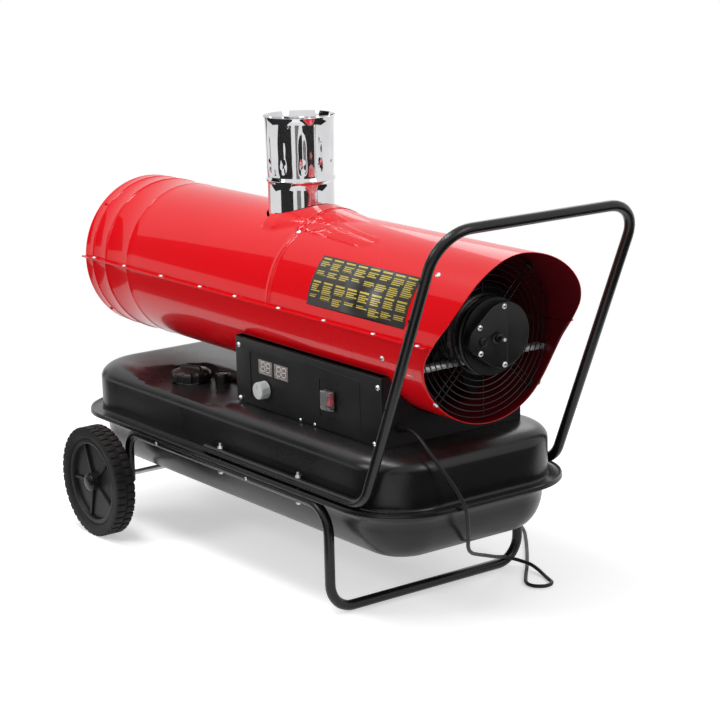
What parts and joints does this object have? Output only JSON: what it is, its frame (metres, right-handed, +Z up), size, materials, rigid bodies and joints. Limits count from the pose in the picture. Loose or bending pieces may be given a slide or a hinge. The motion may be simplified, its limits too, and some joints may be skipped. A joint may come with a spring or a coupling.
{
  "type": "forced air heater",
  "caption": "Indirect-fired space heater: red barrel with flue and rear fan hood on a black wheeled fuel tank, with side controls, push handle, foot and a coiled mains cord.",
  "frame": {"origin": "centre of the bounding box's bottom face, on the floor, measured without the cord", "axes": "+X toward the fan end and handle, -Y toward the control panel, +Z up"},
  "size_m": [1.4392, 0.7928, 0.9622],
  "materials": {
    "red_paint": "gloss powder coat",
    "tube_paint": "satin powder coat",
    "tank_paint": "satin powder coat",
    "box_paint": "satin powder coat",
    "stainless": "bright",
    "zinc_steel": "zinc plated",
    "heat_steel": "heat tinted",
    "cast_aluminium": "cast",
    "brass": "plain",
    "tyre_rubber": "moulded",
    "wheel_plastic": "moulded",
    "hub_plastic": "moulded",
    "black_plastic": "moulded",
    "fan_plastic": "moulded",
    "seal_rubber": "plain",
    "cord_rubber": "satin sheath",
    "knob_plastic": "moulded",
    "display_plastic": "tinted window",
    "switch_red": "moulded",
    "clear_shield": "clear",
    "board_green": "coated",
    "transformer_black": "potted",
    "ceramic": "glazed"
  },
  "bodies": {
    "heater": {"axle": "zinc_steel", "burner_head": "zinc_steel", "circuit_board": "board_green", "clamp_bolt_1": "zinc_steel", "clamp_bolt_2": "zinc_steel", "clamp_bolt_3": "zinc_steel", "clamp_bolt_4": "zinc_steel", "combustion_chamber": "heat_steel", "control_box": "box_paint", "control_panel": "box_paint", "cord": "cord_rubber", "cord_coil": "cord_rubber", "cord_gland": "black_plastic", "display_left": "display_plastic", "display_right": "display_plastic", "electrodes": "ceramic", "fan_guard": "tube_paint", "filler_neck": "zinc_steel", "filler_strainer": "zinc_steel", "flame_tube": "heat_steel", "flue": "stainless", "frame_tube": "tube_paint", "fuel_line": "black_plastic", "fuel_pickup": "brass", "handle_tube": "tube_paint", "ignition_transformer": "transformer_black", "instruction_plate": "black_plastic", "level_gauge": "black_plastic", "lower_shell": "red_paint", "motor": "cast_aluminium", "motor_bracket": "zinc_steel", "nozzle": "brass", "outlet_ring": "red_paint", "plug": "black_plastic", "pump_body": "cast_aluminium", "pump_cover": "black_plastic", "rocker_frame": "black_plastic", "rocker_shield": "clear_shield", "tank_lower": "tank_paint", "tank_upper": "tank_paint", "thermostat": "black_plastic", "upper_shell": "red_paint"},
    "wheel_near_turn": {"wheel_near": "wheel_plastic", "tyre_near": "tyre_rubber", "hub_cap_near": "hub_plastic"},
    "wheel_far_turn": {"wheel_far": "wheel_plastic", "tyre_far": "tyre_rubber", "hub_cap_far": "hub_plastic"},
    "rotor": {"fan": "fan_plastic", "motor_shaft": "stainless"},
    "thermostat_dial": {"thermostat_knob": "knob_plastic"},
    "power_rocker": {"rocker": "switch_red"},
    "cap_lifter": {"cap_seal": "seal_rubber"},
    "cap_turner": {"filler_cap": "black_plastic"},
    "level_float": {"float_arm": "black_plastic"},
    "level_needle": {"gauge_pointer": "switch_red"}
  },
  "joints": [
    {"name": "wheel_near_spin", "type": "hinge", "parent": "heater", "child": "wheel_near_turn", "pos_m": [-0.438, -0.335, 0.127], "axis": [0, 1, 0], "continuous": true},
    {"name": "wheel_far_spin", "type": "hinge", "parent": "heater", "child": "wheel_far_turn", "pos_m": [-0.438, 0.335, 0.127], "axis": [0, 1, 0], "continuous": true},
    {"name": "fan_spin", "type": "hinge", "parent": "heater", "child": "rotor", "pos_m": [0.412, 0, 0.582], "axis": [1, 0, 0], "continuous": true},
    {"name": "thermostat_turn", "type": "hinge", "parent": "heater", "child": "thermostat_dial", "pos_m": [0.028, -0.19, 0.403], "axis": [0, -1, 0], "range_deg": [-270, 0]},
    {"name": "power_tip", "type": "hinge", "parent": "heater", "child": "power_rocker", "pos_m": [0.262, -0.175, 0.4255], "axis": [1, 0, 0], "range_deg": [0, 14]},
    {"name": "cap_lift", "type": "slide", "parent": "heater", "child": "cap_lifter", "axis": [0, 0, 1], "range_m": [0, 0.035]},
    {"name": "cap_turn", "type": "hinge", "parent": "cap_lifter", "child": "cap_turner", "pos_m": [-0.358, -0.124, 0.35], "axis": [0, 0, 1], "range_deg": [0, 90]},
    {"name": "float_swing", "type": "hinge", "parent": "heater", "child": "level_float", "pos_m": [-0.3, -0.076, 0.305], "axis": [0, 1, 0], "range_deg": [-60, 0]},
    {"name": "needle_turn", "type": "hinge", "parent": "heater", "child": "level_needle", "pos_m": [-0.3, -0.076, 0.3595], "axis": [0, 0, 1], "range_deg": [0, 90]}
  ],
  "couplings": [
    {"joint": "needle_turn", "follows": "float_swing", "ratio": -1.5}
  ]
}
